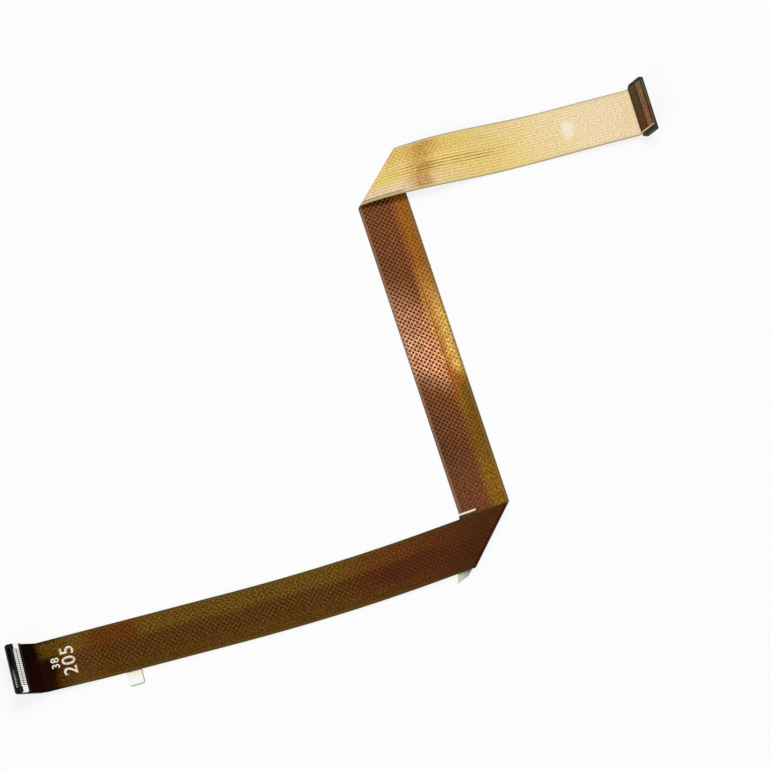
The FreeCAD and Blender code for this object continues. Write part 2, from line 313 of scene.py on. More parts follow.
def folding_tree():
    tree, entry, given = open_tree("fold the strip", fold_inputs)
    position = tree.nodes.new("GeometryNodeInputPosition").outputs[0]
    s, w, n = split(tree, position)
    radius = given["End bend radius"]

    past_tip, up_tip = bend_up(given["Tip bend start"] - s, n, radius, given["Tip bend angle"])
    past_head, up_head = bend_up(s - given["Head bend start"], n, radius, given["Head bend angle"])
    on_tip = (s - given["Tip bend start"]).math("LESS_THAN", 0.0)
    on_head = (s - given["Head bend start"]).math("GREATER_THAN", 0.0)
    in_run = 1.0 - (on_tip + on_head)
    at = s * in_run + (given["Tip bend start"] - past_tip) * on_tip
    at = at + (given["Head bend start"] + past_head) * on_head
    n = n * in_run + up_tip * on_tip + up_head * on_head

    twist = 1.0 - (s - given["Tip bend start"]).step(0.0, given["Tip twist length"])
    w, n = lift_and_roll(w, n, twist, given["Tip roll slope"] * half_width, given["Tip roll slope"])
    rise = (s - upper_top).step(upper_length / 2, upper_length)
    w, n = lift_and_roll(w, n, rise, given["Head lift"], given["Head roll slope"])

    back = lower_top - at
    bend_length = given["Outline bend length"]
    turned = (back - outline_fold_length).between(0.0, bend_length) / given["Outline bend radius"]
    straight = (back - bend_length - outline_fold_length).most(0.0)
    x = -back.least(outline_fold_length) - given["Outline bend radius"] * sine(turned)
    x = x - straight * cosine(turned) + w * sine(turned) + (lower_top - lower_crease)
    y = given["Outline bend radius"] * (1.0 - cosine(turned))
    y = y + straight * sine(turned) + w * cosine(turned)

    flat = (x * along_middle[0] + y * far_of_middle[0],
            x * along_middle[1] + y * far_of_middle[1], -n)
    crease_radius = given["Fold radius"]
    lower = fold_over(*flat, (0.0, 0.0), lower_outward, crease_radius,
                      given["Lower fold sweep"], given["Lower rest height"])
    upper = fold_over(*flat, middle_end, upper_outward, crease_radius,
                      given["Upper fold sweep"], given["Upper rest height"],
                      given["Upper hump reach"])
    row = [part + first + second for part, first, second in zip(flat, lower, upper)]
    place = add_node(tree, "GeometryNodeSetPosition", {
        "Geometry": entry.outputs["Geometry"],
        "Position": joined(tree, row[0], row[1], row[2] + half_film)})
    return close_tree(tree, entry, place.outputs["Geometry"])


fold_tree = folding_tree()
print("folding tree:", len(fold_tree.nodes), "nodes")


# %% Running a tree on an object
def evaluated_mesh(piece):
    """What an object looks like with its modifiers, as a mesh of its own."""
    bpy.context.view_layer.update()
    evaluated = piece.evaluated_get(bpy.context.evaluated_depsgraph_get())
    return bpy.data.meshes.new_from_object(evaluated)


def run_tree(piece, tree, sizes, finish=None):
    """Sets a tree's inputs, turns its result into plain mesh and drops the modifier."""
    modifier = piece.modifiers.new(tree.name, "NODES")
    modifier.node_group = tree
    values = dict(sizes, Material=finish)
    for item in tree.interface.items_tree:
        if item.in_out == "INPUT" and values.get(item.name) is not None:
            modifier[item.identifier] = values[item.name]
    mesh = evaluated_mesh(piece)
    piece.modifiers.clear()
    piece.data = mesh


def add_object(name, data):
    piece = bpy.data.objects.new(name, data)
    bpy.context.scene.collection.objects.link(piece)
    return piece


def piece_from(name, vertices, faces):
    mesh = bpy.data.meshes.new(name)
    mesh.from_pydata(vertices, [], faces)
    return add_object(name, mesh)


def stray(found, wanted):
    """Largest difference between two boxes' corners, in millimetres."""
    pairs = zip([*found[0], *found[1]], [*wanted[0], *wanted[1]])
    return round(max(abs(a - b) for a, b in pairs) / mm, 3)


def box_of(piece):
    points = [vertex.co for vertex in piece.data.vertices]
    return (Vector(min(point[axis] for point in points) for axis in range(3)),
            Vector(max(point[axis] for point in points) for axis in range(3)))


# %% [markdown]
# ## The film
#
# The film is two faces and a cut edge all round. Straight lines across the strip would
# cross the creases at an angle and make them ragged, so the lines of the mesh slant with
# the creases and straighten out towards the ends. Each point keeps its place on the flat
# strip in a UV map, which the printed pattern follows past both folds.

# %% Lines of the film's mesh
end_step = 0.12 * mm
run_step = 1.2 * mm
fold_step = 0.16 * mm
straighten_length = 15 * mm
near_fold = 3.0 * mm
corner_steps = 5
columns = 16


def ease(share):
    share = min(1.0, max(0.0, share))
    return share * share * (3 - 2 * share)


def slant_at(s):
    """How far a line leans along the strip for each metre across it."""
    lower_lean = 1 / math.tan(lower_crease_angle)
    upper_lean = 1 / math.tan(upper_crease_angle)
    if s < lower_crease:
        return lower_lean * ease((s - lower_top + straighten_length) / straighten_length)
    if s > upper_crease:
        return upper_lean * ease((upper_top + straighten_length - s) / straighten_length)
    share = (s - lower_crease) / middle_length
    return lower_lean + (upper_lean - lower_lean) * share


def steps_between(start, end, step):
    count = max(1, round((end - start) / step))
    return [start + (end - start) * place / count for place in range(count)]


def film_lines():
    """Stations from end to end, close together where the film bends."""
    corner_angles = [quarter * place / corner_steps for place in range(corner_steps)]
    lines = [0.0]
    lines += [corner_radius * (1 - math.cos(angle)) for angle in corner_angles[1:]]
    start = corner_radius
    for end, step in ((tip_length, run_step), (tip_bend_start, end_step),
                      (lower_top - near_fold, run_step), (lower_top, fold_step * 3),
                      (lower_crease, fold_step), (upper_crease, run_step),
                      (upper_top, fold_step), (upper_top + near_fold, fold_step * 3),
                      (head_bend_start, run_step), (head_bend_end, end_step),
                      (strip_length - corner_radius, run_step)):
        lines += steps_between(start, end, step)
        start = end
    lines += [strip_length - corner_radius * (1 - math.sin(angle)) for angle in corner_angles]
    return lines + [strip_length]


def reach_at(s):
    """Half the strip's width, less what the rounded corners take off."""
    into = corner_radius - min(s, strip_length - s)
    if into <= 0:
        return half_width
    return half_width - corner_radius + math.sqrt(max(0.0, corner_radius ** 2 - into ** 2))


def film_point(s, share, height):
    across = reach_at(s) * share
    return s + slant_at(s) * across, across, height


def film_mesh(name):
    """Closed slab with its place on the strip in a UV map and its side in an attribute."""
    lines = film_lines()
    shares = [2 * place / columns - 1 for place in range(columns + 1)]
    vertices = [film_point(s, share, height)
                for height in (half_film, -half_film) for s in lines for share in shares]
    row = columns + 1
    layer = row * len(lines)
    faces, sides = [], []
    for line in range(len(lines) - 1):
        for place in range(columns):
            a = line * row + place
            faces.append((a, a + row, a + row + 1, a + 1))
            faces.append((layer + a, layer + a + 1, layer + a + row + 1, layer + a + row))
            sides += [0, 1]
    rim = [line * row for line in range(len(lines))]
    rim += [(len(lines) - 1) * row + place for place in range(1, row)]
    rim += [line * row + columns for line in reversed(range(len(lines) - 1))]
    rim += reversed(range(1, columns))
    for a, b in zip(rim, rim[1:] + rim[:1]):
        faces.append((a, a + layer, b + layer, b))
        sides.append(2)
    film = piece_from(name, vertices, faces)
    strip_map = film.data.uv_layers.new(name="strip")
    for loop in film.data.loops:
        strip_map.data[loop.index].uv = film.data.vertices[loop.vertex_index].co.xy
    side = film.data.attributes.new("side", "INT", "FACE")
    side.data.foreach_set("value", sides)
    return film


film = film_mesh("flex_film")
print("film lines:", len(film_lines()), "faces:", len(film.data.polygons))

# %% Folding the film, and where the frame has it
run_tree(film, fold_tree, fold_inputs)
flex_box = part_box("flex_circuit")
to_row = flex_box[0] - box_of(film)[0]
to_row.z = 0
film.data.transform(Matrix.Translation(to_row))
print("film against the frame's solid, mm off at worst:", stray(box_of(film), flex_box))
print("to the row's origin, mm:", [round(part / mm, 3) for part in to_row])


# %% Folding what lies on the film
def fold_up(piece, finish=None):
    """Folds a piece that was drawn on the flat strip and moves it to the row's origin."""
    run_tree(piece, fold_tree, fold_inputs, finish)
    piece.data.transform(Matrix.Translation(to_row))


# %% [markdown]
# ## Colours and pattern helpers
#
# Colours are written as they look on a screen, and a helper turns them into the linear
# values that Blender's sockets hold. Every printed pattern below is a formula of two
# numbers, the distance along the strip and the distance across it.


# %% Colours, ramps and noise
def srgb(red, green, blue):
    """Linear colour for a colour that is written as it looks on a screen, 0 to 255."""
    linear = [((part / 255 + 0.055) / 1.055) ** 2.4 for part in (red, green, blue)]
    return (*linear, 1.0)


white = srgb(255, 255, 255)


def open_material(name, rough, specular=0.5, tint=white, metallic=0.0):
    material = bpy.data.materials.new(name)
    material.use_nodes = True
    tree = material.node_tree
    shader = tree.nodes["Principled BSDF"]
    for label, value in (("Roughness", rough), ("Specular IOR Level", specular),
                         ("Specular Tint", tint), ("Metallic", metallic)):
        shader.inputs[label].default_value = value
    return material, tree, shader


def mix(tree, share, first, second, blend="MIX"):
    """First colour where the share is 0, second where it is 1."""
    node = add_node(tree, "ShaderNodeMix", {0: share, 6: first, 7: second},
                    data_type="RGBA", blend_type=blend)
    return node.outputs[2]


def ramp(tree, value, stops):
    """Colour that changes smoothly through a few stops, each a place and a colour."""
    node = tree.nodes.new("ShaderNodeValToRGB")
    node.color_ramp.interpolation = "EASE"
    elements = node.color_ramp.elements
    start, end = stops[0][0], stops[-1][0]
    while len(elements) < len(stops):
        elements.new(0.5)
    for element, (place, colour) in zip(elements, stops):
        element.position = (place - start) / (end - start)
        element.color = colour
    feed(tree, (value - start) / (end - start), node.inputs[0])
    return node.outputs[0]


def noise(tree, vector, size, detail=2.0):
    """Smooth noise from 0 to 1 whose blotches are about that size across."""
    node = add_node(tree, "ShaderNodeTexNoise", {
        "Vector": vector, "Scale": 1 / size, "Detail": detail})
    return Field(tree, node.outputs["Fac"])


def strip_place(tree):
    """Distance along and across the strip in millimetres, and both as a vector."""
    strip_map = add_node(tree, "ShaderNodeUVMap", {}, uv_map="strip")
    along, across, _ = split(tree, strip_map.outputs[0])
    s, w = along / mm, across / mm
    return s, w, joined(tree, s, w, 0.0)


def row_place(tree):
    """Place in the row's frame, in metres."""
    return tree.nodes.new("ShaderNodeTexCoord").outputs["Object"]


def object_place(tree):
    """Millimetres along X and Y in the row's frame, and the place itself."""
    place = row_place(tree)
    x, y, _ = split(tree, place)
    return x / mm, y / mm, place


def paint(tree, shader, colour):
    feed(tree, colour, shader.inputs["Base Color"])


def ridge(value):
    """1 at whole numbers and 0 half way between them."""
    return (value.math("FRACT") - 0.5).math("ABSOLUTE") * 2.0


def bump(tree, shader, height, distance):
    node = add_node(tree, "ShaderNodeBump", {"Distance": distance, "Height": height})
    feed(tree, node.outputs[0], shader.inputs["Normal"])


print("helpers ready, mid brown is", [round(part, 3) for part in srgb(111, 60, 33)])

# %% [markdown]
# ## The film's two faces
#
# Under the clear amber cover the copper is a mesh of fine lines at 45 degrees, with holes
# where the dark film shows, and beside it run straight lines along the strip. One face
# shows on the outer runs and the other on the middle run. The cover film is uneven and
# catches the light, so each band across the strip has a slow change of tint along it. A
# painted reflection makes the upper run pale gold, a painted highlight crosses the middle
# run, and both faces have a bump of the copper below.

# %% What the printed pattern measures, in millimetres
hatch_pitch = 0.75
line_pitch = 0.62
margin_start, margin_end = 4.45, 4.75
cut_start, cut_end = 4.92, 5.08
band_blur = 0.8

# %% How the cover film shines, and the height of the copper's relief in it
film_rough = 0.36
film_gloss = 0.14
film_tint = (1.0, 0.60, 0.20, 1.0)
relief_height = 0.012 * mm


def hatch(s, w, pitch, low, high):
    """Share of copper in a mesh of lines at 45 degrees."""
    scale = 1 / (pitch * math.sqrt(2))
    return ridge((s + w) * scale).most(ridge((s - w) * scale)).step(low, high)


def dashes(tree, s, w, size, stretch):
    """Noise drawn out along the strip, as in the grain between fine copper lines."""
    return noise(tree, joined(tree, s / stretch, w, 0.0), size, 1.0)


def toned(tree, colour, share, low, high):
    """Multiplies a colour by one factor where the share is 0 and another where it is 1."""
    return mix(tree, 1.0, colour, mix(tree, share, (*low, 1.0), (*high, 1.0)), "MULTIPLY")


def tinted(tree, colour, share, factor):
    """Multiplies a colour by a factor where the share is 1 and leaves it where it is 0."""
    return toned(tree, colour, share, (1.0, 1.0, 1.0), factor)


def three_bands(tree, s, w, far_edge, near_edge, bands):
    """Far, middle and near tints that run into each other across the strip."""
    far, middle, near = [ramp(tree, s, band) for band in bands]
    is_far = w.step(far_edge - band_blur, far_edge + band_blur)
    is_near = 1.0 - w.step(near_edge - band_blur, near_edge + band_blur)
    return mix(tree, is_near, mix(tree, is_far, middle, far), near), is_far, is_near


def film_edge(tree, colour, w, clear):
    """The clear margin beside the copper, and the dark line of the cut itself."""
    reach = w.math("ABSOLUTE")
    colour = mix(tree, reach.step(margin_start, margin_end) * 0.55, colour, clear)
    return tinted(tree, colour, reach.step(cut_start, cut_end), (0.55, 0.52, 0.5))


# %% Tints of the outer face along its far, middle and near band, pale on the upper run with painted reflection
tip_black = srgb(10, 3, 2)
dark_red = srgb(30, 6, 4)
olive = srgb(98, 71, 17)
rust = srgb(94, 48, 9)
brown = srgb(78, 45, 11)
near_brown = srgb(78, 50, 10)
red_brown = srgb(67, 19, 5)
# Straw, pale pink and pale gold on the upper run are the film's paler tint with a painted
# reflection of the key lamp in it
straw_with_glare = srgb(251, 232, 136)
unglared_amber = srgb(190, 126, 40)
pale_gold_with_glare = srgb(253, 240, 184)
pale_pink_with_glare = srgb(250, 234, 182)
far_band = [(0, tip_black), (5.4, tip_black), (8.2, olive), (14, olive), (18, rust), (25, rust),
            (29, olive), (66, olive), (76, rust), (98, red_brown), (114, red_brown), (160, straw_with_glare),
            (192, straw_with_glare), (225, pale_gold_with_glare), (240, pale_gold_with_glare)]
middle_band = [(0, tip_black), (6.0, dark_red), (9.2, dark_red), (11.6, brown), (66, brown),
               (78, red_brown), (114, red_brown), (160, pale_pink_with_glare), (180, straw_with_glare), (198, straw_with_glare),
               (225, pale_gold_with_glare), (240, pale_gold_with_glare)]
near_band = [(0, tip_black), (6.0, dark_red), (9.0, dark_red), (11.6, near_brown),
             (62, near_brown), (96, red_brown), (114, red_brown), (160, pale_pink_with_glare),
             (182, pale_pink_with_glare), (200, straw_with_glare), (225, pale_gold_with_glare), (240, pale_gold_with_glare)]

# %% The face that shows on the outer runs, with its zones in millimetres along the strip
tip_zone = (10, 15)
upper_zone = (125, 140)
glare_gap_zone = (185.0, 190.0)
crease_shade_zone = (93.0, 104.0)
trace_zone = (183, 204)
edge_shade_zone = (150.0, 182.5)
pale_spot = 218.4
lower_crease_lean = 1 / math.tan(lower_crease_angle)


def outer_film_finish():
    material, tree, shader = open_material("film outer face", film_rough, film_gloss, film_tint)
    s, w, place = strip_place(tree)
    wander = noise(tree, place, 8.0) - 0.5
    blotch = noise(tree, place, 1.6)
    grain = dashes(tree, s, w, size=0.27, stretch=1.4)
    streak = dashes(tree, s, w, size=0.4, stretch=8.0)
    past_tip = s.step(*tip_zone)
    upper = s.step(*upper_zone)
    lower = 1.0 - upper

    # Tint of each band, and a darker amber patch across the upper run where the painted reflection
    # gives way
    colour, is_far, is_near = three_bands(tree, s + wander * 5.0, w + wander * 1.5,
                                          far_edge=1.5, near_edge=-2.4,
                                          bands=(far_band, middle_band, near_band))
    patch = (s - w * 0.25 + wander * 4.0).band(*glare_gap_zone, 1.8)
    patch = patch * (blotch.step(0.2, 0.6) * 0.5 + 0.4)
    mottle = grain.step(0.35, 0.65) * 0.5 + 0.5
    colour = mix(tree, patch * mottle * (1.0 - is_far * 0.2), colour, unglared_amber)

    # Copper mesh of the lower run
    mesh = hatch(s, w, hatch_pitch, 0.45, 0.8)
    in_mesh = (1.0 - (is_far * 0.55 + is_near * 0.8)) * past_tip * lower
    web = mesh * in_mesh + (1.0 - in_mesh) * 0.5
    colour = toned(tree, colour, web, (0.40, 0.28, 0.26), (1.52, 1.56, 1.78))

    # Grain of both runs, finer on the upper one, and a painted sheen there
    fleck = mix(tree, upper, (0.36, 0.3, 0.24, 1.0), (0.84, 0.79, 0.66, 1.0))
    bright = mix(tree, upper, (1.6, 1.64, 1.7, 1.0), (1.18, 1.23, 1.38, 1.0))
    either = grain * lower + dashes(tree, s, w, size=0.19, stretch=1.8) * upper
    colour = mix(tree, 1.0, colour, mix(tree, either.step(0.36, 0.64), fleck, bright), "MULTIPLY")
    painted_sheen = noise(tree, place, 3.2).step(0.3, 0.7) * upper
    colour = tinted(tree, colour, painted_sheen, (1.04, 1.0, 1.16))
    streaks = streak.step(0.35, 0.65) * ((is_near * 0.7 + 0.3) * lower)
    colour = toned(tree, colour, streaks, (0.92, 0.9, 0.88), (1.26, 1.24, 1.1))
    # Painted shade: the lower run darkens towards its crease
    crease_shade = (s - w * lower_crease_lean).band(*crease_shade_zone, 4.5)
    colour = tinted(tree, colour, crease_shade, (0.62, 0.5, 0.6))

    # Straight copper lines of the upper run, crossed at its far side, with a dark trace
    cross = hatch(s, w, hatch_pitch, 0.5, 0.9) * is_far * (1.0 - s.step(188, 206))
    fading = 1.0 - s.step(190, 228) * 0.65
    line = ridge(w / line_pitch).step(0.4, 0.9) * (blotch.step(0.3, 0.6) * 0.5 + 0.5) * fading
    colour = tinted(tree, colour, line.most(cross) * upper, (0.76, 0.64, 0.38))
    trace = (w + 0.5).band(-0.9, 0.9, 0.3) * ridge(w / line_pitch).step(0.4, 0.8)
    trace = trace * s.band(*trace_zone, 5.0) * streak.step(0.35, 0.55)
    colour = tinted(tree, colour, trace, (0.55, 0.48, 0.3))

    # Tan line and a painted dark line of shade along the near edge beside the upper fold, and a
    # pale white spot
    by_fold = s.band(*edge_shade_zone, 1.0)
    colour = mix(tree, (-w).band(4.62, 5.6, 0.06) * by_fold * 0.85, colour, srgb(150, 130, 68))
    # Painted shade: a dark line just inside the near edge
    colour = tinted(tree, colour, (-w).band(4.4, 4.58, 0.06) * by_fold, (0.3, 0.24, 0.16))
    # A pale white spot on the upper run, paler towards its middle
    along, across = (s - pale_spot) / 1.5, w / 2.0
    pale_mark = along * along + across * across + (blotch - 0.5) * 2.0
    colour = mix(tree, (1.0 - pale_mark.step(0.1, 1.5)) * 0.6, colour, srgb(252, 244, 234))

    margin = ramp(tree, s, [(9, tip_black), (13, srgb(88, 72, 26)), (70, srgb(88, 72, 26)),
                            (96, srgb(52, 30, 12))])
    clear = mix(tree, upper, margin, srgb(214, 200, 150))
    feed(tree, past_tip * 0.12 + 0.02, shader.inputs["Specular IOR Level"])
    paint(tree, shader, film_edge(tree, colour, w, clear))
    relief = mesh * in_mesh + line * 0.5 * upper + grain * 0.7 + wander * 16.0
    bump(tree, shader, relief, relief_height)
    return material


outer_face = outer_film_finish()

# %% Tints of the inner face along its mesh and its right band, with a painted highlight across the middle run
mesh_brown = srgb(88, 48, 25)
mesh_copper = srgb(106, 58, 31)
peach = srgb(166, 111, 74)
light_peach_highlight = srgb(186, 131, 88)
olive_gold = srgb(112, 76, 12)
orange = srgb(153, 89, 23)
yellow_highlight = srgb(212, 164, 74)
# Yellow and light peach make a painted highlight across the middle run
right_band = [(98, olive_gold), (131.5, olive_gold), (134.5, orange), (138, yellow_highlight), (148, yellow_highlight),
              (160, orange), (180, orange)]
mesh_band = [(98, mesh_brown), (114, mesh_brown), (128.5, mesh_copper), (135, light_peach_highlight),
             (139, light_peach_highlight), (145, peach), (155, mesh_copper), (180, mesh_copper)]

# %% The face that shows on the middle run, with its zones in millimetres along the strip
two_layer_zone = (108, 120)
highlight_zone = (132, 150)
orange_zone = (126, 152)
groove_zone = (124, 134)
groove_across = 2.1
off_strip = -9.0


def inner_film_finish():
    material, tree, shader = open_material("film inner face", film_rough, film_gloss, film_tint)
    s, w, place = strip_place(tree)
    wander = noise(tree, place, 8.0) - 0.5
    grain = dashes(tree, s, w, size=0.22, stretch=2.0)
    blotch = noise(tree, place, 1.4)

    # Tint of both bands, with an orange border between them
    colour, is_right, _ = three_bands(tree, s + wander * 5.0 + w * 0.6, w + wander * 0.8,
                                      far_edge=1.6, near_edge=off_strip,
                                      bands=(right_band, mesh_band, mesh_band))
    beside = w.band(1.7, 3.0, 0.7) * s.band(*orange_zone, 6.0)
    colour = mix(tree, beside * 0.7, colour, srgb(170, 92, 34))

    # Copper mesh, with a second layer that shows through it beside the lower fold
    mesh = hatch(s, w, hatch_pitch, 0.5, 0.84)
    low = 1.0 - (s + wander * 10.0).step(*two_layer_zone)
    in_mesh = (1.0 - is_right * 0.6) * (1.0 - low * 0.7)
    web = mesh * in_mesh + (1.0 - in_mesh) * 0.5
    colour = toned(tree, colour, web, (0.15, 0.07, 0.06), (2.0, 2.16, 2.55))
    second_layer = noise(tree, place, 0.42).step(0.42, 0.6) * low
    colour = toned(tree, colour, second_layer, (0.88, 0.86, 0.86), (1.8, 1.8, 2.1))

    # Grain, specks that are partly painted glints and stronger in the painted highlight, and the
    # groove between the bands
    colour = tinted(tree, colour, w.band(-1.2, 1.8, 0.8), (1.13, 1.03, 0.96))
    colour = toned(tree, colour, grain.step(0.35, 0.65), (0.62, 0.56, 0.52), (1.4, 1.46, 1.56))
    specks_and_glints = blotch.step(0.3, 0.7) * (s.band(*highlight_zone, 5.0) * 0.6 + 0.4)
    colour = toned(tree, colour, specks_and_glints, (0.88, 0.85, 0.82), (1.2, 1.24, 1.3))
    groove = (w + wander * 0.2 - groove_across).band(-0.09, 0.09, 0.06) * s.step(*groove_zone)
    colour = tinted(tree, colour, groove, (0.5, 0.3, 0.25))

    clear = mix(tree, w.step(-1.0, 1.0), srgb(150, 122, 108), srgb(112, 100, 60))
    paint(tree, shader, film_edge(tree, colour, w, clear))
    bump(tree, shader, mesh * in_mesh * 1.2 + grain * 0.6 + wander * 16.0, relief_height)
    return material


inner_face = inner_film_finish()


# %% The cut edge, dark at the left end
dark_end = (-68.0, -64.0)


def cut_edge_finish():
    material, tree, shader = open_material("film cut edge", 0.5)
    x, _, place = object_place(tree)
    grain = noise(tree, place, 0.4 * mm)
    colour = mix(tree, grain, srgb(70, 48, 22), srgb(140, 112, 62))
    paint(tree, shader, mix(tree, x.step(*dark_end), srgb(20, 12, 8), colour))
    return material


# %% Three finishes on one film
film.data.materials.clear()
for finish in (outer_face, inner_face, cut_edge_finish()):
    film.data.materials.append(finish)
side = film.data.attributes["side"]
for polygon in film.data.polygons:
    polygon.material_index = side.data[polygon.index].value
film.data.shade_smooth()
film.data.set_sharp_from_angle(angle=math.radians(40))
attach(film, "root")
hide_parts("flex_circuit")
print("finishes on the film:", len(film.data.materials))

# %% [markdown]
# ## Small parts in plain finishes
#
# The frame's own solids have the right shape for the mouldings, the contacts and the
# pads. They stay, and only get a finish. None of them has a UV map, so their grain reads
# Object coordinates, which are metres in the row's frame.


# %% A finish with a fine uneven grain
grain_height = 0.004 * mm


def plain_finish(name, light, dark, rough, grain_size, metallic=0.0, specular=0.5):
    material, tree, shader = open_material(name, rough, specular, metallic=metallic)
    grain = noise(tree, row_place(tree), grain_size)
    paint(tree, shader, mix(tree, grain.step(0.3, 0.7), dark, light))
    bump(tree, shader, grain, grain_height)
    return material


def dress(node, finish):
    """Gives a solid of the frame its finish."""
    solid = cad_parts[node]
    solid.data.materials.clear()
    solid.data.materials.append(finish)


black_plastic = plain_finish("black moulding", srgb(24, 23, 22), srgb(10, 10, 10),
                             rough=0.5, grain_size=0.5 * mm, specular=0.12)
dark_plastic = plain_finish("dark moulding", srgb(56, 64, 46), srgb(24, 29, 20),
                            rough=0.5, grain_size=0.5 * mm, specular=0.12)
plating = plain_finish("bright plating", srgb(252, 251, 248), srgb(238, 236, 230),
                       rough=0.3, grain_size=0.3 * mm, metallic=0.8)
dull_tin = plain_finish("dull tin", srgb(48, 46, 42), srgb(30, 29, 26),
                        rough=0.5, grain_size=0.2 * mm, metallic=0.5)
tip_board = plain_finish("dark board", srgb(22, 8, 5), srgb(12, 4, 3),
                         rough=0.5, grain_size=0.8 * mm, specular=0.05)
glue = plain_finish("clear glue", srgb(214, 204, 160), srgb(196, 184, 136),
                    rough=0.3, grain_size=1.0 * mm)
for node, finish in (("left_connector_housing", black_plastic),
                     ("right_connector_housing", dark_plastic), ("left_contact_row_inner", plating),
                     ("right_contact_row_inner", plating), ("right_contact_row_outer", plating),
                     ("left_fixing_nails", dull_tin), ("right_fixing_nails", dull_tin),
                     ("left_stiffener", tip_board), ("tail_pad", glue), ("fold_pad", glue)):
    dress(node, finish)
print("solids dressed")

# %% [markdown]
# ## Bright end plates of the left connector
#
# The contacts of the left connector shine as one bar from edge to edge. At both ends of
# the rows a bent plate closes the bar: a lip on the housing and a foot down its end. Its
# outline is drawn in two numbers, across the strip and up from it, and the folding tree
# puts it on the raised end. Low on the film the contacts lie in shade, so the outer row
# carries painted shade that changes with the height above the film.

# %% End plates
housing_top = half_film + left_housing_height
plate_outline = [(3.88, 0.0), (3.88, 0.04), (5.0, 0.04), (5.06, -0.02), (5.06, -0.72), (5.0, -0.72),
                 (5.0, 0.0)]
plate_start, plate_end = 1.22 * mm, 2.38 * mm


def end_plates(name, finish):
    count = len(plate_outline)
    vertices, faces = [], []
    for hand in (-1, 1):
        first = len(vertices)
        vertices += [(s, hand * w * mm, housing_top + n * mm)
                     for s in (plate_start, plate_end) for w, n in plate_outline]
        near = [first + place for place in range(count)]
        far = [place + count for place in near]
        faces += [near, far[::-1]]
        faces += [[near[place - 1], near[place], far[place], far[place - 1]]
                  for place in [*range(1, count), 0]]
    plates = piece_from(name, vertices, faces)
    shape = bmesh.new()
    shape.from_mesh(plates.data)
    bmesh.ops.recalc_face_normals(shape, faces=shape.faces)
    shape.to_mesh(plates.data)
    shape.free()
    fold_up(plates, finish)
    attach(plates, "root")
    return plates


left_end_plates = end_plates("left_end_plates", plating)
print("end plate faces:", len(left_end_plates.data.polygons))


# %% Outer row of the left connector, bright on top, with painted shade low on the film
def outer_row_finish():
    """Paints shade by the height above the film, measured along the raised end's normal."""
    material, tree, shader = open_material("plating with dull tails", 0.35, metallic=0.8)
    place = row_place(tree)
    along = Vector((math.cos(outline_bend_angle), -math.sin(outline_bend_angle), 0.0))
    across = Vector((math.sin(outline_bend_angle), math.cos(outline_bend_angle), 0.0))
    rolled = Vector((0.0, 0.0, 1.0)) + across * math.tan(tip_roll_angle)
    normal = along * math.sin(tip_bend_angle) + rolled * math.cos(tip_bend_angle)
    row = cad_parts["left_contact_row_outer"]
    lowest = min(vertex.co.dot(normal) for vertex in row.data.vertices)
    x, y, z = split(tree, place)
    height = (x * normal.x + y * normal.y + z * normal.z - lowest) / mm
    grain = noise(tree, place, 0.3 * mm)
    bright = mix(tree, grain, srgb(238, 236, 230), srgb(252, 251, 248))
    # Painted shade: the contacts low on the film are darkened
    darkened = mix(tree, grain, srgb(18, 17, 15), srgb(34, 32, 28))
    paint(tree, shader, mix(tree, height.step(0.25, 0.4), darkened, bright))
    return material


dress("left_contact_row_outer", outer_row_finish())

# %% [markdown]
# ## Board behind the right connector, and the liners
#
# These finishes change from place to place. The board is olive at its far end and red
# brown at its near end. A peel-off liner is nearly white or clear, and what shows of it is
# its edge, so a shader draws that edge from the distance to the liner's outline; on the
# white liner that edge line is painted shade.


# %% Board of the right connector
def head_board_finish():
    material, tree, shader = open_material("right board", 0.45, 0.12)
    _, y, place = object_place(tree)
    low, high = [corner.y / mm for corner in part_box("right_stiffener")]
    grain = noise(tree, place, 0.35 * mm)
    blotch = noise(tree, place, 2.0 * mm) - 0.5
    share = (y - low) / (high - low) + blotch * 0.6
    colour = ramp(tree, share, [(0.0, srgb(84, 34, 16)), (0.4, srgb(72, 32, 14)),
                                (0.6, srgb(58, 40, 14)), (1.0, srgb(60, 54, 24))])
    colour = toned(tree, colour, grain.step(0.3, 0.7), (0.6, 0.6, 0.6), (1.3, 1.3, 1.3))
    near_line = 1.0 - (y - low).step(0.22, 0.38)
    paint(tree, shader, mix(tree, near_line, colour, srgb(196, 182, 148)))
    return material


dress("right_stiffener", head_board_finish())


# %% White liner with painted grey shade along its right and lower edge, and a painted warm reflection where it comes out from under the film
liner_corner = 0.6
liner_line = 0.22
amber_bounce_zone = (-46.4, -44.8)


def tail_liner_finish():
    material, tree, shader = open_material("white liner", 0.5, 0.3)
    x, y, _ = object_place(tree)
    low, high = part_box("tail_pad_liner")
    right = (x - (high.x / mm - liner_corner)).most(0.0)
    down = (low.y / mm + liner_corner - y).most(0.0)
    edge = (right * right + down * down).math("SQRT") - liner_corner
    # Painted reflection: the liner turns cream where it picks up the amber film beside it
    colour = mix(tree, y.step(*amber_bounce_zone) * 0.9, srgb(254, 255, 253), srgb(252, 242, 206))
    # Painted shade along the right and lower edge
    shaded_edge = edge.step(-liner_line - 0.08, -liner_line + 0.08)
    paint(tree, shader, mix(tree, shaded_edge, colour, srgb(168, 168, 160)))
    return material


dress("tail_pad_liner", tail_liner_finish())


# %% Clear liner: over the film it shows the film, and its end edge catches the light
end_x, end_y, end_slope = 16.21, 30.81, 0.09
tab_zone = (-39.0, -38.0)


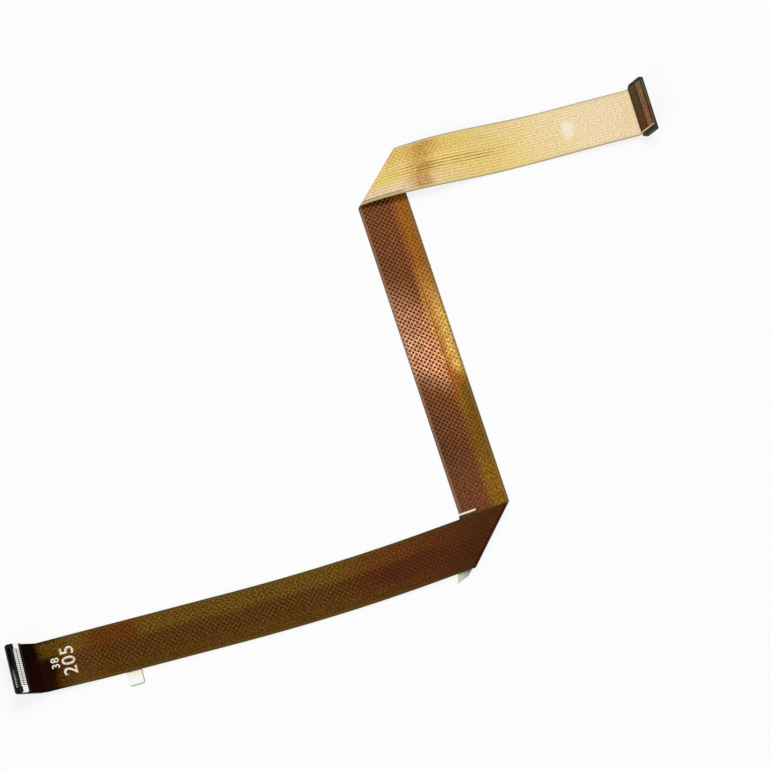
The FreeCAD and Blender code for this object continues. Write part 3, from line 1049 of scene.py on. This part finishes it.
def fold_liner_finish():
    material, tree, shader = open_material("clear liner", 0.5, 0.1)
    x, y, place = object_place(tree)
    grain = noise(tree, place, 0.3 * mm)
    below_end = (x - end_x) * end_slope - end_y - y
    over_film = mix(tree, grain.step(0.4, 0.6), srgb(40, 22, 12), srgb(104, 70, 44))
    end = mix(tree, below_end.step(0.32, 0.42), srgb(250, 240, 214), over_film)
    tab = mix(tree, (x + grain * 0.8).step(13.2, 15.6), srgb(206, 211, 196), srgb(150, 158, 140))
    paint(tree, shader, mix(tree, y.step(*tab_zone), tab, end))
    return material


dress("fold_pad_liner", fold_liner_finish())
print("board and liners dressed")

# %% [markdown]
# ## Stripes over the right connector
#
# On the back of the right head the solder joints of both contact rows show as two columns
# of twenty fine stripes. A grid of points carries a bar on each, and the folding tree then
# lays the bars on the bent head.

# %% The tree that repeats the stripes
stripe_count = 20
stripe_inputs = {
    "Pitch": 0.5 * mm,
    "Stripe width": 0.24 * mm,
    "Stripe length": 1.5 * mm,
    "Relief": 0.03 * mm,
    "Column distance": 2.0 * mm,
    "Middle": head_bend_end + 2.75 * mm,
    "Height": half_film + right_board_thickness,
}


def stripe_tree():
    tree, entry, given = open_tree("repeat the stripes", stripe_inputs)
    size = joined(tree, given["Stripe length"], given["Stripe width"], given["Relief"])
    middle = joined(tree, given["Middle"], 0.0, given["Height"])
    grid = add_node(tree, "GeometryNodeMeshGrid", {
        "Size X": given["Column distance"], "Size Y": given["Pitch"] * (stripe_count - 1.0),
        "Vertices X": 2, "Vertices Y": stripe_count})
    bar = add_node(tree, "GeometryNodeMeshCube", {"Size": size})
    scatter = add_node(tree, "GeometryNodeInstanceOnPoints", {
        "Points": grid.outputs["Mesh"], "Instance": bar.outputs["Mesh"]})
    move = add_node(tree, "GeometryNodeTransform", {
        "Geometry": scatter.outputs[0], "Translation": middle})
    return close_tree(tree, entry, move.outputs["Geometry"])


# %% Stripes on the head
def stripe_finish(middle_x):
    material, tree, shader = open_material("soldered copper", 0.45, 0.2)
    x, _, place = object_place(tree)
    grain = noise(tree, place, 0.3 * mm)
    outer = (x - middle_x / mm).step(-0.2, 0.2)
    colour = mix(tree, outer, srgb(96, 70, 34), srgb(172, 128, 86))
    colour = toned(tree, colour, grain.step(0.3, 0.7), (0.6, 0.56, 0.5), (1.2, 1.2, 1.2))
    paint(tree, shader, colour)
    return material


stripes = piece_from("head_stripes", [(0, 0, 0)], [])
run_tree(stripes, stripe_tree(), stripe_inputs)
fold_up(stripes)
low, high = box_of(stripes)
stripes.data.materials.clear()
stripes.data.materials.append(stripe_finish((low.x + high.x) / 2))
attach(stripes, "root")
print("stripe faces:", len(stripes.data.polygons))

# %% [markdown]
# ## White ink
#
# Two short numbers are printed across the strip near the left connector. They start as
# text, become mesh, are turned to read across the strip and go through the folding tree,
# so they lie on the film as ink does.


# %% Printed numbers
ink_depth = 0.006 * mm
ink_spread = 0.04 * mm
ink_lift = 0.02 * mm


def ink_finish():
    material, tree, shader = open_material("white ink", 0.6, 0.2)
    pale_mark = noise(tree, row_place(tree), 0.5 * mm).step(0.3, 0.6)
    paint(tree, shader, mix(tree, pale_mark, srgb(202, 176, 140), srgb(244, 236, 220)))
    return material


def printed(name, words, s, w, size, finish):
    letters = bpy.data.curves.new(name, "FONT")
    letters.body = words
    letters.size = size
    letters.extrude = ink_depth
    letters.offset = ink_spread
    letters.align_x = letters.align_y = "CENTER"
    letters.space_character = 1.1
    writing = add_object(name, letters)
    mesh = evaluated_mesh(writing)
    bpy.data.objects.remove(writing)
    on_film = Matrix.Translation((s, w, half_film + ink_lift))
    mesh.transform(on_film @ Matrix.Rotation(quarter, 4, "Z"))
    print_mesh = add_object(name, mesh)
    fold_up(print_mesh, finish)
    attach(print_mesh, "root")
    return print_mesh


white_ink = ink_finish()
large_number = printed("large_number", "205", s=12.5 * mm, w=0.1 * mm, size=3.8 * mm,
                       finish=white_ink)
small_number = printed("small_number", "38", s=9.8 * mm, w=0.1 * mm, size=2.2 * mm,
                       finish=white_ink)
print("ink faces:", len(large_number.data.polygons) + len(small_number.data.polygons))

# %% [markdown]
# ## The cable's own line
#
# The strip is a flat cable that lies free, and it follows a line from connector to
# connector, past the middle of each fold.
# The line is given on the flat strip, and the folding tree says where it ends up.


# %% The line from connector to connector
def folded(stations):
    """Where points on the strip's middle line lie once it is folded."""
    probe = piece_from("probe", [(s, 0.0, 0.0) for s in stations], [])
    run_tree(probe, fold_tree, fold_inputs)
    places = [vertex.co + to_row for vertex in probe.data.vertices]
    bpy.data.objects.remove(probe)
    return places


cable_line = folded([0.0, tip_bend_start, lower_top - 60 * mm, lower_top - 30 * mm,
                     (lower_top + lower_crease) / 2, (upper_crease + upper_top) / 2,
                     upper_top + 8 * mm, upper_top + 24 * mm, head_bend_start, strip_length])
line_length = sum((b - a).length for a, b in zip(cable_line, cable_line[1:]))
print("line from connector to connector, mm:", round(line_length / mm, 1))

# %% [markdown]
# ## Floor, light and camera
#
# The floor is white paper. A lamp strong enough to burn it out would bleach the film as
# well, so the camera sees part of its whiteness as light of its own, and the rest still
# takes the cable's shadow. The camera stands where the photographer's stood: 0.7 m away
# and 73 degrees above the table, behind a long lens.

# %% Rays that see a surface at once, in a mirror or through film
def seen_rays(tree):
    rays = tree.nodes.new("ShaderNodeLightPath")
    at_once, mirrored, through = [Field(tree, rays.outputs["Is " + kind + " Ray"])
                                  for kind in ("Camera", "Glossy", "Transmission")]
    return at_once.most(mirrored).most(through)


# %% White floor that keeps a shadow
floor_reach = 3.0
floor_drop = 0.05 * mm
floor_glow = 0.8
floor = piece_from("floor", [(x * floor_reach, y * floor_reach, -floor_drop)
                             for x, y in ((-1, -1), (1, -1), (1, 1), (-1, 1))], [(0, 1, 2, 3)])
white_paper, tree, shader = open_material("white table", 0.9, 0.1)
paint(tree, shader, srgb(252, 252, 252))
glow = tree.nodes.new("ShaderNodeEmission")
blend = add_node(tree, "ShaderNodeMixShader", {
    0: seen_rays(tree) * floor_glow, 1: shader.outputs[0], 2: glow.outputs[0]})
feed(tree, blend.outputs[0], tree.nodes["Material Output"].inputs["Surface"])
floor.data.materials.append(white_paper)

# %% Even world, white where it is seen
world_level = 0.5
world = bpy.data.worlds.new("white room")
world.use_nodes = True
bpy.context.scene.world = world
tree = world.node_tree
background = tree.nodes["Background"]
background.inputs["Color"].default_value = white
feed(tree, seen_rays(tree) * (1.0 - world_level) + world_level, background.inputs["Strength"])


# %% Soft boxes
def soft_box(name, centre, target, size, power):
    lamp = bpy.data.lights.new(name, "AREA")
    lamp.shape = "RECTANGLE"
    lamp.size, lamp.size_y = size
    lamp.energy = power
    turn = (Vector(centre) - Vector(target)).to_track_quat("Z", "Y").to_matrix().to_4x4()
    add_object(name, lamp).matrix_world = Matrix.Translation(centre) @ turn


# %% Camera where the photographer's stood
photo_side = 770
focal_pixels = 3500
camera_distance = 0.7
camera_azimuth = math.radians(-15.06)
camera_elevation = math.radians(73)
looks_at = Vector((-12.52, 34.48, 0.0)) * mm + to_row
back = Vector((math.sin(camera_azimuth) * math.cos(camera_elevation),
               -math.cos(camera_azimuth) * math.cos(camera_elevation),
               math.sin(camera_elevation)))
camera = bpy.data.cameras.new("camera")
camera.sensor_width = 36
camera.lens = camera.sensor_width * focal_pixels / photo_side
camera.clip_start, camera.clip_end = 0.05, 20
holder = add_object("camera", camera)
holder.location = looks_at + back * camera_distance
holder.rotation_mode = "QUATERNION"
holder.rotation_quaternion = back.to_track_quat("Z", "Y")
bpy.context.scene.camera = holder
bpy.context.scene.view_settings.view_transform = "Standard"

# %% The key lamp stands where the upper run mirrors it to the camera
upper_middle = Vector((54.0, 42.0, 0.5)) * mm
key_distance = 0.9
to_camera = (holder.location - upper_middle).normalized()
mirrored = Vector((-to_camera.x, -to_camera.y, to_camera.z))
soft_box("key", centre=upper_middle + mirrored * key_distance, target=upper_middle,
         size=(0.45, 0.20), power=2.8)
soft_box("fill", centre=(-0.9, -0.7, 0.9), target=(0.0, 0.0, 0.0), size=(0.8, 0.8), power=5.0)
print("camera lens, mm:", round(camera.lens, 1))
